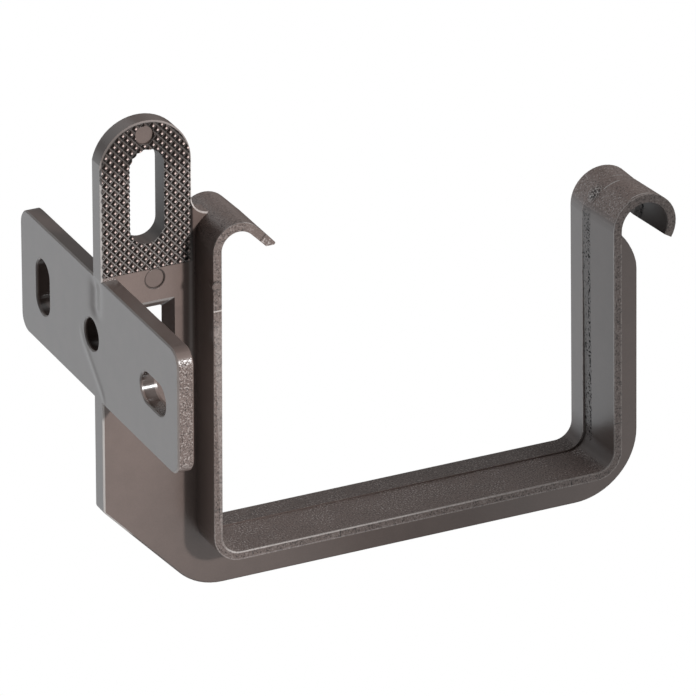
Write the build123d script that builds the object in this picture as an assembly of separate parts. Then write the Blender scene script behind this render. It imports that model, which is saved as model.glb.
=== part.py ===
from build123d import *
import math
import os

# Millimetres. X runs from the fascia to the gutter's front, Y along the gutter, Z up.
# The plate's outer face lies on X = 0, the rib's middle on Y = 0 and its foot on Z = 0.

# Strap that carries the gutter
GUTTER_WIDTH = 114.0
WALL = 2.3
NEAR_Y, FAR_Y = -13.7, 7.6
BACK_X = 26.05
FLOOR_TOP = 14.05
BACK_CORNER, FRONT_CORNER = 5.5, 5.0
LEAN = math.radians(1.45)

# Band along the strap's far side, proud of the rest towards the gutter, fading out at the hook
STEP_Y = 0.9
SKEW = 1.1
BAND_STEP = 0.5
BAND_LIFT = 0.38

# Hooks over the gutter's rims
BACK_HOOK_R = 7.15
BACK_HOOK_TOP = 107.35
BACK_TIP_DROP = 7.85
BACK_TIP_Z = BACK_HOOK_TOP - BACK_TIP_DROP
BACK_TIP_ROUND = 0.5
FRONT_HOOK_R = 9.1
FRONT_HOOK_TOP = 92.3
LIP_ANGLE = -30.0

# Rib under and behind the strap
RIB = 5.4
RIB_BACK_R, RIB_BACK_X = 17.0, 33.5
RIB_SLOPE = 46.3
RIB_FRONT_R, RIB_FRONT_OUT = 18.0, 10.4
WEB_DROP, WEB_BEND, WEB_END_ANGLE = 17.6, (3.8, 11.5), 275.8
BITE = 0.12
TOE_ROUND = 1.6

# Hanging lug at the rib's top
LUG_WIDTH = 25.2
LUG_RISE, LUG_SPREAD = 27.7, 0.15
LUG_TOP = BACK_HOOK_TOP + LUG_RISE
LUG_R = LUG_WIDTH / 2 + LUG_SPREAD
LUG_ROOT_R = 5.0
SLOT_WIDTH, SLOT_LENGTH, SLOT_DOWN = 9.5, 26.0, 20.75
LUG_EDGE = 0.45
RIB_EDGE = 0.4

# Grip pattern on the lug's near face
GRIP_FOOT = 94.0
GRIP_STEP_X, GRIP_STEP_Z = 1.19, 1.30
GRIP_HEIGHT = 0.6
GRIP_GROOVE = 0.14
GRIP_FLAT = 0.22
GRIP_ROOT = 0.35
GRIP_START = (2.6, 97.2)
DISC_SIDE, DISC_DROP = 0.55, 3.75
DISC_MID, DISC_R = (LUG_R - DISC_SIDE, LUG_TOP - DISC_DROP), 2.6
MARK_MID, MARK_R = (14.8, 91.0), 2.7
MARK_SINK = 0.3

# Window through the rib
WINDOW_X, WINDOW_Z = (8.0, 20.3), (67.0, 84.9)
WINDOW_DRAFT, WINDOW_SLOPE = 1.3, 4.3
WINDOW_ROUND = 0.5

# Fascia plate
PLATE_T = 4.5
PLATE_HALF = 48.6
PLATE_HEIGHT, PLATE_MID_Z = 34.6, 75.7
PLATE_FOOT = PLATE_MID_Z - PLATE_HEIGHT / 2
PLATE_ROUND = 4.5
PLATE_EDGE = 0.4
HOLE_EDGE = 0.35
HOLE_DROP, LONG_SLOT_DROP = 0.2, 0.3
TALL_SLOT_IN, LONG_SLOT_IN = 14.0, 15.0
ROUND_HOLE, ROUND_HOLE_R = (4.0, PLATE_MID_Z - HOLE_DROP), 4.35
TALL_SLOT, TALL_SLOT_SIZE = (PLATE_HALF - TALL_SLOT_IN, PLATE_MID_Z - HOLE_DROP), (15.4, 8.3)
LONG_SLOT, LONG_SLOT_SIZE = (LONG_SLOT_IN - PLATE_HALF, PLATE_MID_Z - LONG_SLOT_DROP), (15.3, 8.6)
OVERRUN = 1.0

# Ejector pip on the strap's near rim
PIP_SIDE, PIP_DROP = 0.9, 16.25
PIP_MID, PIP_R, PIP_H = (BACK_X + PIP_SIDE, BACK_HOOK_TOP - PIP_DROP), 1.3, 0.25


def upright(y):
    """A plane across the gutter at depth y, its local x and y along X and Z."""
    return Plane(origin=(0, y, 0), x_dir=(1, 0, 0), z_dir=(0, -1, 0))


def slab(face, y0, y1):
    """A drawing in X and Z made solid from y0 to y1."""
    return extrude(upright(y1) * face, amount=y1 - y0)


def front_line(z, skew, out, lean=LEAN):
    """X of the front upright at height z, counted from its gutter side."""
    foot = BACK_X + WALL + GUTTER_WIDTH
    return foot - skew - (z - FLOOR_TOP) * math.tan(lean) + out / math.cos(lean)


def back_hook_mid():
    return BACK_X + BACK_HOOK_R, BACK_HOOK_TOP - BACK_HOOK_R


def front_hook_mid(skew):
    z = FRONT_HOOK_TOP - FRONT_HOOK_R
    return front_line(z, skew, FRONT_HOOK_R), z


def polar(mid, r, degrees):
    a = math.radians(degrees)
    return mid[0] + r * math.cos(a), mid[1] + r * math.sin(a)


def strap_profile(skew, lift, fade=0):
    """Cross section of the strap, its front part skewed and its floor lifted.

    The fade is what the skew gains from the floor to the hook."""
    rise = FRONT_HOOK_TOP - FRONT_HOOK_R - FLOOR_TOP
    slant = LEAN + math.atan(fade / rise)
    lean, foot_lean = math.degrees(LEAN), math.degrees(slant)
    hook, cup = back_hook_mid(), front_hook_mid(skew + fade)
    top = FLOOR_TOP + lift
    back = (BACK_X + WALL + BACK_CORNER, top + BACK_CORNER)
    front_z = top + FRONT_CORNER
    front = (front_line(front_z, skew, -FRONT_CORNER, slant), front_z)
    inner_r = BACK_HOOK_R - WALL
    arm_out, arm_in = polar(hook, BACK_HOOK_R, 45), polar(hook, inner_r, 45)
    tip_out = (arm_out[0] + arm_out[1] - BACK_TIP_Z, BACK_TIP_Z)
    tip_in = (arm_in[0] + arm_in[1] - BACK_TIP_Z, BACK_TIP_Z)
    lines = [
        Line(arm_out, tip_out),
        Line(tip_out, tip_in),
        Line(tip_in, arm_in),
        CenterArc(hook, BACK_HOOK_R, 45, 135),
        CenterArc(hook, inner_r, 45, 135),
        Line(polar(hook, BACK_HOOK_R, 180), polar(back, BACK_CORNER + WALL, 180)),
        Line(polar(hook, inner_r, 180), polar(back, BACK_CORNER, 180)),
        CenterArc(back, BACK_CORNER + WALL, 180, 90),
        CenterArc(back, BACK_CORNER, 180, 90),
        Line(polar(back, BACK_CORNER + WALL, 270), polar(front, FRONT_CORNER + WALL, 270)),
        Line(polar(back, BACK_CORNER, 270), polar(front, FRONT_CORNER, 270)),
        CenterArc(front, FRONT_CORNER + WALL, 270, 90 + foot_lean),
        CenterArc(front, FRONT_CORNER, 270, 90 + foot_lean),
        Line(polar(front, FRONT_CORNER + WALL, foot_lean), polar(cup, FRONT_HOOK_R - WALL, 180 + lean)),
        Line(polar(front, FRONT_CORNER, foot_lean), polar(cup, FRONT_HOOK_R, 180 + lean)),
        CenterArc(cup, FRONT_HOOK_R - WALL, LIP_ANGLE, 180 + lean - LIP_ANGLE),
        CenterArc(cup, FRONT_HOOK_R, LIP_ANGLE, 180 + lean - LIP_ANGLE),
        Line(polar(cup, FRONT_HOOK_R - WALL, LIP_ANGLE), polar(cup, FRONT_HOOK_R, LIP_ANGLE)),
    ]
    face = make_face(Curve() + lines)
    tip = face.vertices().sort_by_distance((tip_out[0], tip_out[1], 0))[0]
    return fillet(tip, BACK_TIP_ROUND)


def strap():
    inner = strap_profile(SKEW, 0, BAND_STEP)
    near = loft([upright(NEAR_Y) * strap_profile(0, 0), upright(STEP_Y) * inner], ruled=True)
    band = slab(strap_profile(SKEW + BAND_STEP, BAND_LIFT), STEP_Y, FAR_Y)
    return near + band


def rib_profile():
    """Outline of the rib and the lug, reaching half way into the strap's wall."""
    lean = math.degrees(LEAN)
    half = WALL / 2
    hook, cup = back_hook_mid(), front_hook_mid(SKEW + BAND_STEP)
    low_back = (RIB_BACK_X, RIB_BACK_R)
    slope_end = polar(low_back, RIB_BACK_R, 270 - RIB_SLOPE)
    toe = (0, slope_end[1] + slope_end[0] * math.tan(math.radians(RIB_SLOPE)))
    low_front = (front_line(RIB_FRONT_R, 0, WALL + RIB_FRONT_OUT - RIB_FRONT_R), RIB_FRONT_R)
    web_z = cup[1] - WEB_DROP
    web = (front_line(web_z, 0, WALL + RIB_FRONT_OUT), web_z)
    web_mid = (cup[0] + WEB_BEND[0], cup[1] - WEB_BEND[1])
    cup_r = FRONT_HOOK_R - WALL + BITE
    web_end = polar(cup, cup_r, WEB_END_ANGLE)
    cup_end = polar(cup, cup_r, 180)
    front_top = (front_line(cup_end[1], 0, 0), cup_end[1])
    corner_r = FRONT_CORNER + half
    corner = (front_line(FLOOR_TOP - half + corner_r, 0, -corner_r), FLOOR_TOP - half + corner_r)
    back_r = BACK_CORNER + half
    back = (BACK_X + half + back_r, FLOOR_TOP - half + back_r)
    lug = (LUG_WIDTH - LUG_R, LUG_TOP - LUG_R)
    root_x = LUG_WIDTH + LUG_ROOT_R
    dip = BACK_HOOK_R - 3 * BITE
    reach = dip + LUG_ROOT_R
    root = (root_x, hook[1] + math.sqrt(reach ** 2 - (hook[0] - root_x) ** 2))
    root_a = math.degrees(math.atan2(root[1] - hook[1], root[0] - hook[0]))
    turn_a = (180 + root_a) / 2
    lug_a = math.degrees(math.acos(-lug[0] / LUG_R))
    lines = [
        Line(toe, slope_end),
        CenterArc(low_back, RIB_BACK_R, 270 - RIB_SLOPE, RIB_SLOPE),
        Line((RIB_BACK_X, 0), (low_front[0], 0)),
        CenterArc(low_front, RIB_FRONT_R, 270, 90 + lean),
        Line(polar(low_front, RIB_FRONT_R, lean), web),
        ThreePointArc(web, web_mid, web_end),
        CenterArc(cup, cup_r, 180, WEB_END_ANGLE - 180),
        Line(cup_end, front_top),
        Line(front_top, polar(corner, corner_r, lean)),
        CenterArc(corner, corner_r, 270, 90 + lean),
        Line(polar(corner, corner_r, 270), polar(back, back_r, 270)),
        CenterArc(back, back_r, 180, 90),
        Line(polar(back, back_r, 180), polar(hook, BACK_HOOK_R - half, 180)),
        Line(polar(hook, BACK_HOOK_R - half, 180), polar(hook, BACK_HOOK_R - half, turn_a)),
        Line(polar(hook, BACK_HOOK_R - half, turn_a), polar(hook, dip, root_a)),
        CenterArc(root, LUG_ROOT_R, 180, root_a),
        Line((LUG_WIDTH, root[1]), (LUG_WIDTH, lug[1])),
        CenterArc(lug, LUG_R, 0, lug_a),
        Line(polar(lug, LUG_R, lug_a), toe),
    ]
    face = make_face(Curve() + lines)
    heel = face.vertices().sort_by_distance((toe[0], toe[1], 0))[0]
    return fillet(heel, TOE_ROUND)


def lug_slot():
    return Pos(LUG_R, LUG_TOP - SLOT_DOWN) * Rot(0, 0, 90) * SlotOverall(SLOT_LENGTH, SLOT_WIDTH)


def edge_near(body, x, y, z):
    return body.edges().sort_by_distance((x, y, z))[0]


def window_face(draft, slope):
    width = WINDOW_X[1] - draft - WINDOW_X[0]
    height = WINDOW_Z[1] - slope - WINDOW_Z[0]
    middle = Pos(WINDOW_X[0] + width / 2, WINDOW_Z[0] + height / 2)
    return middle * RectangleRounded(width, height, WINDOW_ROUND)


def rib():
    body = slab(rib_profile(), -RIB / 2, RIB / 2)
    sides = (-RIB / 2, RIB / 2)
    body = chamfer([edge_near(body, 0, y, PLATE_FOOT) for y in sides], RIB_EDGE)
    for y in sides:
        body = chamfer(edge_near(body, LUG_WIDTH - LUG_R, y, LUG_TOP), RIB_EDGE)
    window = loft([
        upright(-RIB / 2) * window_face(0, 0),
        upright(RIB / 2) * window_face(WINDOW_DRAFT, WINDOW_SLOPE),
    ], ruled=True)
    return body - slab(lug_slot(), -RIB, RIB) - window


def tooth():
    """One blunt diamond pyramid of the grip, its foot sunk into the lug's face."""
    half_x, half_z = GRIP_STEP_X - GRIP_GROOVE / 2, GRIP_STEP_Z - GRIP_GROOVE / 2
    corners = [(half_x, 0), (0, half_z), (-half_x, 0), (0, -half_z)]
    levels = [(GRIP_ROOT, 1), (0, 1), (-GRIP_HEIGHT, GRIP_FLAT)]
    rings = [[Vector(x * k, y - RIB / 2, z * k) for x, z in corners] for y, k in levels]
    faces = [flat_face(rings[0]), flat_face(rings[-1])]
    for low, high in zip(rings, rings[1:]):
        for i in range(4):
            faces.append(flat_face([low[i - 1], low[i], high[i], high[i - 1]]))
    return Solid(Shell(faces))


def flat_face(points):
    return Face(Wire.make_polygon(points, close=True))


def grip_field():
    """The part of the lug's face that the grip covers."""
    height = LUG_TOP - LUG_R - GRIP_FOOT
    field = Pos(LUG_WIDTH - LUG_R, LUG_TOP - LUG_R) * Circle(LUG_R - LUG_EDGE)
    field += Pos(LUG_WIDTH / 2, GRIP_FOOT + height / 2) * Rectangle(LUG_WIDTH - 2 * LUG_EDGE, height)
    return field - lug_slot() - Pos(*DISC_MID) * Circle(DISC_R)


def grip():
    """Staggered rows of teeth, trimmed to the field."""
    one = tooth()
    start_x, start_z = GRIP_START
    low, high = (GRIP_FOOT - start_z) / GRIP_STEP_Z, (LUG_TOP - start_z) / GRIP_STEP_Z
    left, right = -start_x / GRIP_STEP_X / 2 - 1, (LUG_WIDTH - start_x) / GRIP_STEP_X / 2
    teeth = []
    for row in range(math.floor(low), math.ceil(high)):
        z = start_z + row * GRIP_STEP_Z
        for column in range(math.floor(left), math.ceil(right) + 1):
            x = start_x + (2 * column + row % 2) * GRIP_STEP_X
            from_arc = math.hypot(x - LUG_WIDTH + LUG_R, max(z - LUG_TOP + LUG_R, 0))
            if from_arc < LUG_R + GRIP_STEP_Z:
                teeth.append(one.moved(Location((x, 0, z))))
    field = slab(grip_field(), -RIB / 2 - 2 * GRIP_HEIGHT, -RIB / 2 + GRIP_ROOT)
    return [solid for shape in field.intersect(Compound(teeth)) for solid in shape.solids()]


def fascia_plate():
    across = Plane(origin=(0, 0, PLATE_MID_Z), x_dir=(0, 1, 0), z_dir=(1, 0, 0))
    outline = RectangleRounded(2 * PLATE_HALF, PLATE_HEIGHT, PLATE_ROUND)
    plate = extrude(across * outline, amount=PLATE_T)
    return chamfer(plate.edges().filter_by(Axis.X, reverse=True), PLATE_EDGE)


def fixing_holes():
    across = Plane(origin=(-OVERRUN, 0, 0), x_dir=(0, 1, 0), z_dir=(1, 0, 0))
    tall = Pos(*TALL_SLOT) * Rot(0, 0, 90) * SlotOverall(*TALL_SLOT_SIZE)
    wide = Pos(*LONG_SLOT) * SlotOverall(*LONG_SLOT_SIZE)
    slots = extrude(across * (Sketch() + [tall, wide]), amount=PLATE_T + 2 * OVERRUN)
    bore = extrude(across * (Pos(*ROUND_HOLE) * Circle(ROUND_HOLE_R)), amount=WINDOW_X[0] + 2 * OVERRUN)
    return slots + bore


def bracket():
    body = strap() + rib() + fascia_plate()
    body = body - fixing_holes()
    outer_face = body.faces().filter_by(Axis.X).group_by(Axis.X)[0].sort_by(SortBy.AREA)[-1]
    rims = [edge for wire in outer_face.inner_wires() for edge in wire.edges()]
    body = chamfer(rims, HOLE_EDGE).fuse(*grip())
    for mid, r in ((DISC_MID, DISC_R), (MARK_MID, MARK_R)):
        body = body - slab(Pos(*mid) * Circle(r), -RIB, -RIB / 2 + MARK_SINK)
    body = body + slab(Pos(*PIP_MID) * Circle(PIP_R), NEAR_Y - PIP_H, NEAR_Y + WALL)
    return Pos(0, 0, -PLATE_FOOT) * body


gutter_bracket = bracket()
gutter_bracket.label = "gutter_bracket"
gutter_bracket.color = Color(0.16, 0.11, 0.10)
os.makedirs("parts", exist_ok=True)
export_step(gutter_bracket, "parts/gutter_bracket.step")
solids = gutter_bracket.solids()
print("solids", len(solids), "volume", round(sum(s.volume for s in solids), 1))
print("box", gutter_bracket.bounding_box())
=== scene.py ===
import math
from types import SimpleNamespace

import bpy
from mathutils import Matrix, Vector


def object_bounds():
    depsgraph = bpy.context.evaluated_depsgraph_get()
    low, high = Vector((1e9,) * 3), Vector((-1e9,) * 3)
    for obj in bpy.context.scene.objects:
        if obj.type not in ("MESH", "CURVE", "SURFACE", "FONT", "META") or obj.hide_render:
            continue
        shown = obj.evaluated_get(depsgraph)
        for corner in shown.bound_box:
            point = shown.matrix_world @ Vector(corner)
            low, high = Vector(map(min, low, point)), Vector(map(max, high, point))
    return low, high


MM = 0.001

# Camera, at the photograph's viewing angle
LOOK_AT = Vector((70.0, 0.0, -3.4)) * MM
DISTANCE = 1811.3 * MM
AZIMUTH, ELEVATION, ROLL = 26.073, 26.072, -0.280
PHOTO_WIDTH, FOCAL_PIXELS = 696.0, 7000.0
SENSOR = 36.0
SHIFT = (0.0033, 0.0187)
CLIP = (0.1, 10.0)

# Light: name, width and height in metres, place, direction it faces, radiance
SOFTBOXES = [
    ("table_near", (0.30, 0.34), (-0.06, -0.20, -0.085), (0.0, 0.0, 1.0), 0.65),
    ("table_right", (0.35, 0.42), (0.325, -0.24, -0.10), (0.0, 0.0, 1.0), 0.60),
    ("table_back", (0.40, 0.42), (-0.25, 0.27, -0.10), (0.0, 0.0, 1.0), 0.20),
    ("top", (0.40, 0.30), (-0.10, 0.35, 0.30), (0.4, -0.7, -0.6), 0.86),
]
KEY_AIM, KEY_FROM = Vector((0.0, -0.01, 0.03)), Vector((0.31, -0.89, 0.30)).normalized()
KEY_POWER, KEY_RADIUS, KEY_CONE = 53.0, 0.04, math.radians(14.0)
# Room: the sign of X, Y and Z that a corner of it lies towards, and its brightness
ROOM = [
    ((-1, 1, -1), 1.35), ((-1, 1, 1), 0.31), ((1, 1, -1), 0.06), ((1, 1, 1), 0.39),
    ((1, -1, -1), 0.62), ((1, -1, 1), 1.02),
]
ROOM_SOFT = 0.25
COOL, NEUTRAL = (0.95, 1.0, 1.03), (1.0, 1.0, 1.0)

# Plastic: plain colour, a pale colour for light marks and painted highlights, a painted highlight for
# the grip's points, and gloss
BROWN = (0.102, 0.0743, 0.0652)
PALE = (0.56, 0.52, 0.50)
# Painted highlight on the grip's points, and how much of it
WORN = (0.58, 0.45, 0.415)
WORN_SHARE = 0.9
PLAIN_SHADE = 0.83
ROUGHNESS = 0.26
IOR = 1.5

# Sizes of the solid that the finish follows, in millimetres from the fascia plate's foot
PLATE_T, PLATE_TOP_Z = 4.5, 34.5
PLATE_END_Y = (-40.0, -47.0)
HOLES_Y, HOLES_Z, HOLE_RIM = (-44.0, 44.0), (4.0, 31.0), 0.8
LUG_FACE_Y, LUG_WIDTH, LUG_FOOT_Z = -2.7, 25.2, 24.0
LUG_SLOT_X, LUG_SLOT_Z = (8.0, 17.5), (43.0, 68.8)
LUG_HEAD_Z, WEB_END_X, TOE_Z = (60.0, 66.0), (34.0, 33.0), (-40.0, -37.0)
GRIP_FOOT, GRIP_HEIGHT = 35.6, 0.6
DISCS = [((12.2, 72.9), 2.6), ((14.8, 32.6), 2.7)]
STRAP_X, WALL, RIM_Y, STEP_Y, FLOOR_Z = 26.05, 2.3, -13.7, 0.9, -44.35
GUTTER_MID_X, GUTTER_HALF, CORNER, LEAN = 85.35, 57.0, 5.25, 0.02531
FRONT_X = 138.0
HOOKS_Z, FRONT_HOOK_X = (22.0, 27.0), (125.0, 130.0)
HOLLOW_Z = (10.0, 14.0)
BEND_X, BEND_Z = (120.0, 132.0), (-34.0, -39.0)

# Rear hook's arm, and its tip and the line across it by X less Z
ARM_X, ARM_Z = (36.0, 60.0), (18.0, 20.0)
ARM_LINE, TIP = -3.95, (-3.7, -3.4)

# Small marks: notches and a tick in the rim, rings, flow lines, gate, strip of pits; spans of painted
# highlights along the rim, painted light on the step's wall, and a painted reflection on the pocket's
# wall
REAR_X, REAR_NOTCH_Z, TICK_Z = (35.0, 30.0), -30.85, 25.65
FLOOR_NOTCHES_X, FRONT_NOTCH_Z, NOTCH_HALF = (62.0, 129.6), -31.0, 0.1
PIP_X, PIP_Z, PIP_RING_R = 26.95, 32.7, 1.3
RING_HALF, RING_SOFT = 0.15, 0.12
RIM_LINES_Z, FLOOR_LINE_X = (24.0, 20.0), (150.0, 60.0)
FLOW_LINES = [
    (-2.7, (143.4, 147.6), 1.0), (0.5, (147.6, 150.4), 0.6), (-12.7, (146.2, 150.9), 1.0),
]
GATE_Y, GATE_Z, GATE_R = -1.1, 30.6, (2.4, 1.0)
GATE_LEFT_X, GATE_RIGHT_X = (139.0, 140.0), (146.0, 144.0)
STRIP_Y, ROW_Y, STRIP_Z, STEP_WALL_Z = (-2.6, STEP_Y), (-2.3, -1.8), (-38.0, 24.0), (-44.0, -40.0)
STREAK_X, STREAK_WIDTH, STREAK_Z = 24.8, 0.55, (12.0, 36.0)
SINK_Y, SINK_WIDTH, SINK_Z = 1.2, 2.6, (26.0, 31.0)
FLOW_RISE, FLOW_SLOPE, FLOW_WIDTH, FLOW_Y = 5.1, 0.9, 1.69, (-2.0, 9.0)

# Facing, as the part of the normal along an axis: where a mask starts and where it is full
SQUARE, LEVEL = (-0.8, -0.95), (0.7, 0.95)
RISING, INWARDS, ROUND_BEND = (0.1, 0.5), (-0.1, -0.5), (0.7, 0.9)
SLANT_FROM, SLANT_TO = (-0.5, -0.6), (-0.85, -0.78)
GRIP_FLANK, GRIP_LIT, STREAK_FACING = (-0.3, -0.5), (0.1, 0.4), (-0.3, -0.6)

# Noises: waves per millimetre and detail, and the levels where a mark starts and is full
CLOUDS, PATCHES, GRAIN = (0.18, 3.0), (0.12, 2.0), (3.2, 3.0)
DOTS, HOLES, TORN = (2.3, 1.5), (1.6, 3.0), (2.0, 2.0)
CLOUD_LEVEL, PATCH_LEVEL = (0.3, 0.7), (0.40, 0.58)
SPECK_LEVEL, PIT_LEVEL = (0.56, 0.66), (0.44, 0.34)
STRIP_PIT_LEVEL, ROW_PIT_LEVEL, STRIP_SPECK_LEVEL = (0.40, 0.36), (0.48, 0.43), (0.60, 0.70)
TORN_DARK_LEVEL, TORN_LIGHT_LEVEL = (0.51, 0.46), (0.55, 0.60)

# How much of each mask goes into the specks, pits, shade (partly painted shade), pale marks and
# painted highlights, roughness and height
FAR_FLOOR_CLEAR, ARM_CLEAR = 0.4, 0.9
# Painted shade in the grip's valleys, and how much less of it on flanks that face the light
VALLEY_GLOOM, LIT_FLANK = 0.85, 0.35
SPECKS = {
    "speckled": 0.8, "speckled_patches": 1.7, "plate_end": 1.4, "hooks": 0.5, "hook_patches": 2.2,
    "rim": 0.55, "rim_tip": 1.3,
}
PITTED = {"rim": 1.0, "plate_end": 1.0, "floor": 1.0, "hooks": 0.8}
MOTTLED = {"cloud": 0.09, "grain": 0.25}
# Of these, the lug's plain foot gets a painted reflection and the step's edge a painted highlight.
LIGHTER = {
    "hooks": 0.2, "front_hook": 1.1, "step_line": 0.8, "floor": 0.25, "strip_specks": 2.0,
    "lug_foot": 0.15,
}
# Of these, the grip's valleys, the inside of the front hook, the holes, the lug's slot and the
# plate's top get painted shade.
DARKER = {
    "pits": 0.6, "strip": 0.35, "strip_pits": 0.95, "gloom": 1.0, "pip_ring": 0.5, "notches": 0.6,
    "gate_dark": 0.85, "disc_rings": 0.6, "far_floor": 0.3, "hollow": 0.3, "bore": 0.5,
    "rim": 0.06, "lug_slot": 0.4, "plate_top": 0.15,
}
# Of these, the rim's edge lines, the lips, the slanted edges and the plate's edge get painted
# highlights, the pocket's wall a painted reflection, and the step's wall painted light.
PALER = {
    "speckle": 0.2, "inner_line": 0.12, "floor_line": 0.5, "outer_line": 0.16, "lip": 0.35,
    "arm_lip": 0.4, "bevel": 0.7, "bevel_head": -0.5, "bevel_strap": -0.3, "plate_edge": 0.25,
    "streak": 0.4, "tick": 0.5, "flow_lines": 0.9, "gate_light": 1.0, "step_wall": 0.6,
}
ROUGHER = {
    "grain": 0.08, "rim": 0.08, "floor": 0.14, "hooks": 0.06, "strip": 0.12, "hollow": 0.25,
    "bend": 0.16, "bore": -0.1, "strip_pits": 0.5, "lug_slot": 0.2,
}
RAISED = {
    "grain": 0.008, "uneven": 0.12, "strip_pits": -0.5, "pits": -0.05, "gate_torn": 0.5,
    "notches": -0.08, "pip_ring": -0.08, "disc_rings": -0.08, "sink": -0.6, "flow": 0.16,
}


class Graph:
    """Small helper that adds shader nodes and links them in one call."""

    def __init__(self, tree):
        self.tree = tree

    def node(self, kind, *inputs, out=0, named=None, **settings):
        """Add a node, fill its inputs by number or name, and give back one output."""
        made = self.tree.nodes.new(kind)
        for key, value in settings.items():
            setattr(made, key, value)
        for slot, value in [*enumerate(inputs), *(named or {}).items()]:
            if isinstance(value, bpy.types.NodeSocket):
                self.tree.links.new(value, made.inputs[slot])
            else:
                made.inputs[slot].default_value = value
        return made.outputs[out] if made.outputs else None

    def math(self, operation, *inputs):
        return self.node("ShaderNodeMath", *inputs, operation=operation)

    def times(self, *values):
        product = values[0]
        for value in values[1:]:
            product = self.math("MULTIPLY", product, value)
        return product

    def plus(self, *values):
        total = values[0]
        for value in values[1:]:
            total = self.math("ADD", total, value)
        return total

    def inverse(self, value):
        return self.math("SUBTRACT", 1.0, value)

    def weigh(self, masks, shares):
        """Sum of the named masks, each by its share."""
        return self.plus(*(self.times(getattr(masks, name), share) for name, share in shares.items()))

    def between(self, value, low, high):
        """0 at low, 1 at high, smooth in between."""
        return self.node(
            "ShaderNodeMapRange", value, low, high, 0.0, 1.0, interpolation_type="SMOOTHSTEP")

    def band(self, value, low, high, soft):
        """1 from low to high, fading to 0 over soft on both sides."""
        return self.times(
            self.between(value, low - soft, low), self.between(value, high + soft, high))

    def line(self, value, middle, half, soft):
        """1 within half of the middle, fading to 0 over soft on both sides."""
        return self.band(value, middle - half, middle + half, soft)

    def bell(self, value, middle, width):
        """1 at the middle, falling to a third at width from it."""
        off = self.math("DIVIDE", self.math("ADD", value, -middle), width)
        return self.math("EXPONENT", self.times(off, off, -1.0))

    def distance(self, u, u0, v, v0):
        """Distance in millimetres from the point u0, v0."""
        return self.math("SQRT", self.plus(
            self.math("POWER", self.math("ADD", u, -u0), 2.0),
            self.math("POWER", self.math("ADD", v, -v0), 2.0)))

    def ring(self, u, u0, v, v0, radius):
        """Thin ring round the point u0, v0."""
        return self.line(self.distance(u, u0, v, v0), radius, RING_HALF, RING_SOFT)

    def mix(self, factor, first, second):
        """Goes from the first colour to the second; a colour is three numbers or a socket."""
        first, second = (
            (*colour, 1.0) if isinstance(colour, tuple) else colour for colour in (first, second))
        return self.node(
            "ShaderNodeMix", out=2, named={0: factor, 6: first, 7: second}, data_type="RGBA")

    def axes(self, vector):
        made = self.tree.nodes.new("ShaderNodeSeparateXYZ")
        self.tree.links.new(vector, made.inputs[0])
        return made.outputs

    def noise(self, place, scale, detail):
        return self.node("ShaderNodeTexNoise", place, named={"Scale": scale, "Detail": detail})


def note_bounds(name, seen):
    low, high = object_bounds()
    seen[name] = [list(low), list(high)]


def add_camera():
    az, el, roll = (math.radians(a) for a in (AZIMUTH, ELEVATION, ROLL))
    ahead = Vector((math.sin(az) * math.cos(el), math.cos(az) * math.cos(el), -math.sin(el)))
    level = ahead.cross(Vector((0, 0, 1))).normalized()
    below = ahead.cross(level)
    right = level * math.cos(roll) + below * math.sin(roll)
    down = below * math.cos(roll) - level * math.sin(roll)
    camera = bpy.data.objects.new("camera", bpy.data.cameras.new("camera"))
    bpy.context.scene.collection.objects.link(camera)
    turn = Matrix((right, -down, -ahead)).transposed().to_4x4()
    camera.matrix_world = Matrix.Translation(LOOK_AT - ahead * DISTANCE) @ turn
    camera.data.sensor_width = SENSOR
    camera.data.lens = SENSOR * FOCAL_PIXELS / PHOTO_WIDTH
    camera.data.shift_x, camera.data.shift_y = SHIFT
    camera.data.clip_start, camera.data.clip_end = CLIP
    bpy.context.scene.camera = camera


def add_softboxes():
    for name, size, place, facing, radiance in SOFTBOXES:
        box = bpy.data.objects.new(name, bpy.data.lights.new(name, "AREA"))
        bpy.context.scene.collection.objects.link(box)
        box.data.shape = "RECTANGLE"
        box.data.size, box.data.size_y = size
        box.data.energy = radiance * math.pi * size[0] * size[1]
        box.location = place
        box.rotation_euler = Vector(facing).to_track_quat("-Z", "Y").to_euler()
        box.visible_camera = False


def add_key():
    key = bpy.data.objects.new("key", bpy.data.lights.new("key", "SPOT"))
    bpy.context.scene.collection.objects.link(key)
    key.data.energy = KEY_POWER
    key.data.shadow_soft_size = KEY_RADIUS
    key.data.spot_size, key.data.spot_blend = KEY_CONE, 1.0
    key.location = KEY_AIM + KEY_FROM
    key.rotation_euler = KEY_FROM.to_track_quat("Z", "Y").to_euler()


def add_room():
    """White to the camera, a plain room with a pale table to the object."""
    world = bpy.data.worlds.new("room")
    bpy.context.scene.world = world
    world.use_nodes = True
    world.node_tree.nodes.clear()
    g = Graph(world.node_tree)
    axes = g.axes(g.node("ShaderNodeTexCoord", out="Generated"))
    sides = [
        {sign: g.between(axis, -sign * ROOM_SOFT, sign * ROOM_SOFT) for sign in (-1, 1)}
        for axis in axes]
    glow = g.plus(*(
        g.times(bright, *(side[sign] for side, sign in zip(sides, signs))) for signs, bright in ROOM))
    room = g.node("ShaderNodeBackground", g.mix(sides[0][-1], NEUTRAL, COOL), glow)
    white = g.node("ShaderNodeBackground", (1.0, 1.0, 1.0, 1.0), 1.0)
    seen = g.node("ShaderNodeLightPath", out="Is Camera Ray")
    g.node("ShaderNodeOutputWorld", g.node("ShaderNodeMixShader", seen, room, white))


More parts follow.
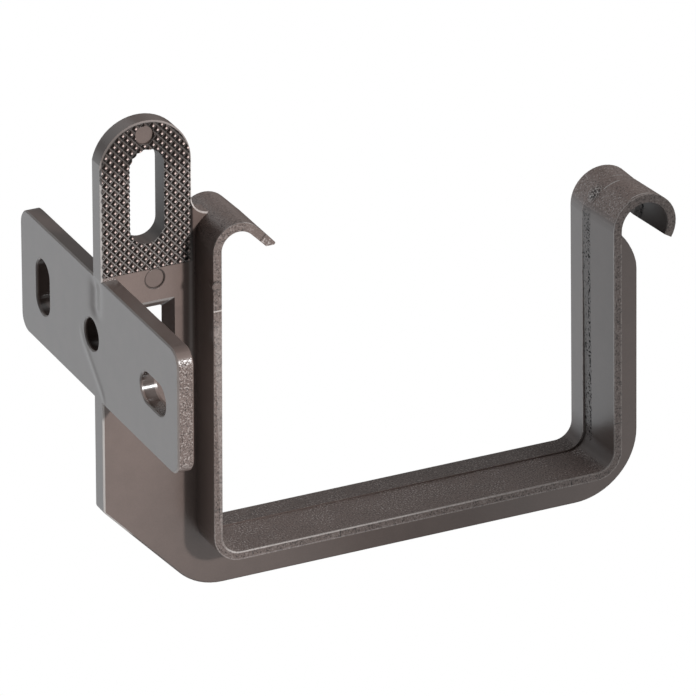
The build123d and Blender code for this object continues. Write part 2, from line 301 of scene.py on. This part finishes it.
def find_surface(g):
    """Place in millimetres, facing, and the directions that several marks share."""
    m = SimpleNamespace()
    m.place = g.node(
        "ShaderNodeVectorMath", g.node("ShaderNodeTexCoord", out="Object"), operation="SCALE",
        named={"Scale": 1.0 / MM})
    m.x, m.y, m.z = g.axes(m.place)
    m.nx, m.ny, m.nz = g.axes(g.node("ShaderNodeNewGeometry", out="True Normal"))
    m.facing_near = g.between(m.ny, *SQUARE)
    m.facing_up = g.between(m.nz, *LEVEL)
    m.facing_wall = g.between(m.nx, *SQUARE)
    return m


def add_texture(g, m):
    """Mottling, patches, grain and dots."""
    m.cloud = g.between(g.noise(m.place, *CLOUDS), *CLOUD_LEVEL)
    m.patches = g.between(g.noise(m.place, *PATCHES), *PATCH_LEVEL)
    m.grain = g.noise(m.place, *GRAIN)
    m.dots = g.noise(m.place, *DOTS)


def add_regions(g, m):
    """Near rim, hooks, floor and the plate's end, which are rougher than the rest."""
    m.strap = g.between(m.x, STRAP_X - 0.4, STRAP_X)
    m.floor = g.times(m.facing_up, g.between(m.z, FLOOR_Z + 4.0, FLOOR_Z + 2.0))
    m.far_floor = g.times(m.floor, g.between(m.y, STEP_Y, STEP_Y + 0.3))
    m.plate_end = g.times(m.facing_near, g.between(m.y, *PLATE_END_Y))
    m.hooks = g.times(m.strap, g.between(m.z, *HOOKS_Z), g.between(m.nz, *RISING))
    m.front_hook = g.times(m.hooks, g.between(m.x, *FRONT_HOOK_X))
    m.rim = g.times(m.facing_near, m.strap, g.between(m.y, RIM_Y + 0.6, RIM_Y + 0.2))
    m.arm = g.times(g.band(m.x, *ARM_X, 2.0), g.between(m.z, *ARM_Z))
    m.along_arm = g.math("SUBTRACT", m.x, m.z)


def add_specks_and_pits(g, m):
    """Light specks and dark pits in the rougher regions."""
    m.speckled = g.times(m.floor, g.inverse(g.times(m.far_floor, FAR_FLOOR_CLEAR)))
    m.speckled_patches = g.times(m.speckled, m.patches)
    m.hook_patches = g.times(m.front_hook, m.patches)
    m.rim_tip = g.times(m.rim, m.arm, g.between(m.along_arm, *TIP))
    m.speckle = g.times(g.between(m.dots, *SPECK_LEVEL), g.weigh(m, SPECKS))
    pitted = g.times(g.weigh(m, PITTED), g.inverse(g.times(m.arm, ARM_CLEAR)))
    m.pits = g.times(pitted, g.between(m.dots, *PIT_LEVEL))
    m.uneven = g.times(pitted, m.dots)


def add_gloss_regions(g, m):
    """Gloss of the inside of the front hook, bend at the foot, holes and slot, with painted shade
    inside the front hook, the holes and the slot, and a painted reflection on the lug's plain foot.
    """
    inwards = g.between(g.plus(m.nx, m.nz), *INWARDS)
    m.hollow = g.times(
        inwards, g.between(m.x, FRONT_X + 4.0, FRONT_X + 6.0), g.between(m.z, *HOLLOW_Z))
    m.bend = g.times(
        g.between(m.x, *BEND_X), g.between(m.z, *BEND_Z),
        g.between(g.math("SUBTRACT", m.nz, m.nx), *ROUND_BEND))
    m.bore = g.times(
        g.band(m.x, HOLE_RIM, PLATE_T - HOLE_RIM, 0.1), g.band(m.y, *HOLES_Y, 0.5),
        g.band(m.z, *HOLES_Z, 0.5))
    m.lug_slot = g.times(g.band(m.x, *LUG_SLOT_X, 0.3), g.band(m.z, *LUG_SLOT_Z, 0.3))
    m.lug_face = g.between(m.y, LUG_FACE_Y + 0.3, LUG_FACE_Y + 0.1)
    m.lug_foot = g.times(
        m.facing_near, m.lug_face, g.band(m.z, LUG_FOOT_Z, GRIP_FOOT, 1.0),
        g.band(m.x, PLATE_T + 0.5, LUG_WIDTH - 2.0, 2.0))


def gutter_distance(g, m):
    """Millimetres outwards from the strap's gutter side, round its corners and up its lean."""
    sheared = g.plus(m.x, g.times(g.math("ADD", m.z, -FLOOR_Z), LEAN))
    aside = g.plus(g.math("ABSOLUTE", g.math("ADD", sheared, -GUTTER_MID_X)), CORNER - GUTTER_HALF)
    under = g.math("SUBTRACT", FLOOR_Z + CORNER, m.z)
    corner = g.math("SQRT", g.plus(
        g.math("POWER", g.math("MAXIMUM", aside, 0.0), 2.0),
        g.math("POWER", g.math("MAXIMUM", under, 0.0), 2.0)))
    return g.plus(corner, g.math("MINIMUM", g.math("MAXIMUM", aside, under), 0.0), -CORNER)


def add_rim_lines(g, m):
    """Painted highlights along the rim's edges and over the hooks' near lip."""
    depth = gutter_distance(g, m)
    below_hooks = g.times(g.between(m.z, *RIM_LINES_Z), m.rim)
    m.inner_line = g.times(below_hooks, g.between(depth, 0.45, 0.25))
    m.floor_line = g.times(
        m.inner_line, g.between(m.z, FLOOR_Z + 3.0, FLOOR_Z), g.between(m.x, *FLOOR_LINE_X))
    m.outer_line = g.times(below_hooks, g.band(depth, WALL - 0.3, WALL, 0.15))
    beside_rim = g.times(m.strap, g.inverse(m.facing_near))
    m.lip = g.times(beside_rim, g.between(m.y, RIM_Y + 0.5, RIM_Y + 0.2))
    m.arm_lip = g.times(beside_rim, m.arm, g.between(m.y, RIM_Y + 0.9, RIM_Y + 0.5))


def add_rim_marks(g, m):
    """Notches and a tick in the near rim, and a ring round the pip."""
    rear, front = g.between(m.x, *REAR_X), g.between(m.x, FRONT_X, FRONT_X + 2.0)
    m.notches = g.times(m.rim, g.plus(
        g.times(rear, g.line(m.z, REAR_NOTCH_Z, NOTCH_HALF, 0.1)),
        *(g.line(m.x, place, NOTCH_HALF, 0.1) for place in FLOOR_NOTCHES_X),
        g.times(front, g.line(m.z, FRONT_NOTCH_Z, NOTCH_HALF, 0.1)),
        g.times(m.arm, g.line(m.along_arm, ARM_LINE, 0.15, 0.15))))
    m.tick = g.times(m.rim, rear, g.line(m.z, TICK_Z, NOTCH_HALF, 0.15))
    m.pip_ring = g.times(m.strap, m.facing_near, g.ring(m.x, PIP_X, m.z, PIP_Z, PIP_RING_R))


def add_hook_marks(g, m):
    """Flow lines over the front hook and the torn gate mark on it."""
    m.flow_lines = g.times(m.hooks, g.plus(*(
        g.times(g.line(m.y, place, 0.1, 0.12), g.band(m.x, *span, 0.4), strength)
        for place, span, strength in FLOW_LINES)))
    gate = g.times(
        m.strap, g.between(g.distance(m.y, GATE_Y, m.z, GATE_Z), *GATE_R),
        g.between(m.x, *GATE_LEFT_X), g.between(m.x, *GATE_RIGHT_X))
    torn = g.noise(m.place, *TORN)
    m.gate_dark = g.times(gate, g.between(torn, *TORN_DARK_LEVEL))
    m.gate_light = g.times(gate, g.between(torn, *TORN_LIGHT_LEVEL))
    m.gate_torn = g.times(gate, torn)


def add_disc_rings(g, m):
    """Thin dark ring round each ejector disc."""
    on_lug = g.times(m.facing_near, g.between(m.y, LUG_FACE_Y - 0.7, LUG_FACE_Y))
    rings = g.plus(*(g.ring(m.x, x, m.z, z, radius) for (x, z), radius in DISCS))
    m.disc_rings = g.times(on_lug, rings)


def add_grip(g, m):
    """Painted highlights on the grip's points and painted shade in its valleys, less of it on flanks
    that face the light from the right.
    """
    lug = g.times(
        g.between(m.z, GRIP_FOOT - 0.3, GRIP_FOOT), g.between(m.x, LUG_WIDTH + 0.5, LUG_WIDTH))
    m.point = g.times(lug, g.between(m.y, LUG_FACE_Y - 0.49, LUG_FACE_Y - GRIP_HEIGHT))
    flank = g.times(
        lug, g.between(m.y, LUG_FACE_Y + 0.12, LUG_FACE_Y + 0.02), g.between(m.ny, *GRIP_FLANK))
    lit = g.times(g.between(m.nx, *GRIP_LIT), g.between(m.nz, *GRIP_LIT))
    m.gloom = g.times(
        flank, g.inverse(m.point), g.plus(VALLEY_GLOOM, g.times(lit, -LIT_FLANK)))


def add_front_strip(g, m):
    """Strip of pits beside the step in the front upright, a painted highlight along the step's edge,
    and painted light on the step's wall where it lies in shadow.
    """
    upright = g.times(m.facing_wall, g.between(m.x, FRONT_X - 2.0, FRONT_X))
    height = g.band(m.z, *STRIP_Z, 4.0)
    m.strip = g.times(upright, g.band(m.y, *STRIP_Y, 0.2), height)
    row = g.times(upright, g.band(m.y, *ROW_Y, 0.25), height)
    holes = g.noise(m.place, *HOLES)
    m.strip_pits = g.plus(
        g.times(m.strip, g.between(holes, *STRIP_PIT_LEVEL)),
        g.times(row, g.between(holes, *ROW_PIT_LEVEL)))
    m.strip_specks = g.times(m.strip, g.between(m.dots, *STRIP_SPECK_LEVEL))
    m.step_wall = g.times(
        m.facing_near, m.strap, g.line(m.y, STEP_Y, 0.05, 0.05), g.between(m.z, *STEP_WALL_Z))
    m.step_line = g.times(upright, g.band(m.y, STEP_Y + 0.05, STEP_Y + 0.3, 0.1))


def slanted(g, along):
    """1 on a broken edge, which looks partly along the axis."""
    return g.times(g.between(along, *SLANT_FROM), g.between(along, *SLANT_TO))


def add_edges(g, m):
    """Painted highlights on the slanted edges, a painted reflection on the pocket's wall, and painted
    shade on the plate's top.
    """
    m.bevel = g.times(
        g.between(m.x, *WEB_END_X), g.between(m.z, *TOE_Z), slanted(g, m.ny),
        g.between(m.y, LUG_FACE_Y - 0.1, LUG_FACE_Y), g.between(m.y, 0.0, -1.0))
    m.bevel_head = g.times(m.bevel, g.between(m.z, *LUG_HEAD_Z))
    m.bevel_strap = g.times(m.bevel, m.strap)
    m.plate_edge = g.times(g.between(m.x, 0.5, 0.4), slanted(g, m.nx))
    m.plate_top = g.times(
        m.facing_up, g.between(m.x, PLATE_T + 0.5, PLATE_T), g.line(m.z, PLATE_TOP_Z, 0.5, 0.3))
    m.streak = g.times(
        g.between(m.ny, *STREAK_FACING), g.bell(m.x, STREAK_X, STREAK_WIDTH),
        g.band(m.z, *STREAK_Z, 10.0), m.lug_face)


def add_sink_marks(g, m):
    """Soft sink mark over the rib and a slanting flow mark in the plate's outer face."""
    face = g.times(
        m.facing_wall, g.between(m.x, 0.3, 0.1), g.between(m.z, -0.5, 0.5),
        g.between(m.z, PLATE_TOP_Z + 0.5, PLATE_TOP_Z - 0.5))
    m.sink = g.times(face, g.bell(m.y, SINK_Y, SINK_WIDTH), g.band(m.z, *SINK_Z, 4.0))
    rise = g.plus(m.z, g.times(m.y, -FLOW_SLOPE))
    m.flow = g.times(face, g.bell(rise, FLOW_RISE, FLOW_WIDTH), g.band(m.y, *FLOW_Y, 3.0))


def brown_plastic():
    mat = bpy.data.materials.new("brown_plastic")
    mat.use_nodes = True
    mat.node_tree.nodes.clear()
    g = Graph(mat.node_tree)
    m = find_surface(g)
    for add_masks in (
            add_texture, add_regions, add_specks_and_pits, add_gloss_regions, add_rim_lines,
            add_rim_marks, add_hook_marks, add_disc_rings, add_grip, add_front_strip, add_edges,
            add_sink_marks):
        add_masks(g, m)
    shade = g.times(
        g.plus(PLAIN_SHADE, g.weigh(m, MOTTLED)), g.plus(1.0, g.weigh(m, LIGHTER)),
        *(g.inverse(g.times(getattr(m, name), share)) for name, share in DARKER.items()))
    plain = g.node("ShaderNodeVectorMath", BROWN, operation="SCALE", named={"Scale": shade})
    edged = g.mix(g.math("MINIMUM", 1.0, g.weigh(m, PALER)), plain, PALE)
    colour = g.mix(g.times(m.point, WORN_SHARE), edged, WORN)
    rough = g.plus(ROUGHNESS, g.weigh(m, ROUGHER))
    bump = g.node(
        "ShaderNodeBump", named={"Height": g.weigh(m, RAISED), "Distance": MM, "Strength": 1.0})
    shader = g.node(
        "ShaderNodeBsdfPrincipled", colour, named={"Roughness": rough, "IOR": IOR, "Normal": bump})
    g.node("ShaderNodeOutputMaterial", shader)
    return mat


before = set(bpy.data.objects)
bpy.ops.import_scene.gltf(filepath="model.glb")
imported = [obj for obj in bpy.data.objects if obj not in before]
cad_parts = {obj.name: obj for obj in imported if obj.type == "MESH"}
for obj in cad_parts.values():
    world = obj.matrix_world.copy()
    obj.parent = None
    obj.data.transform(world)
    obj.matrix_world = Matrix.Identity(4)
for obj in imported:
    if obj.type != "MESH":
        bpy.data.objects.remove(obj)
boxes = {}
note_bounds("loaded", boxes)
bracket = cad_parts["gutter_bracket"]
bracket.data.materials.clear()
bracket.data.materials.append(brown_plastic())
add_camera()
add_softboxes()
add_key()
add_room()
bpy.context.scene.view_settings.view_transform = "Standard"
note_bounds("finished", boxes)
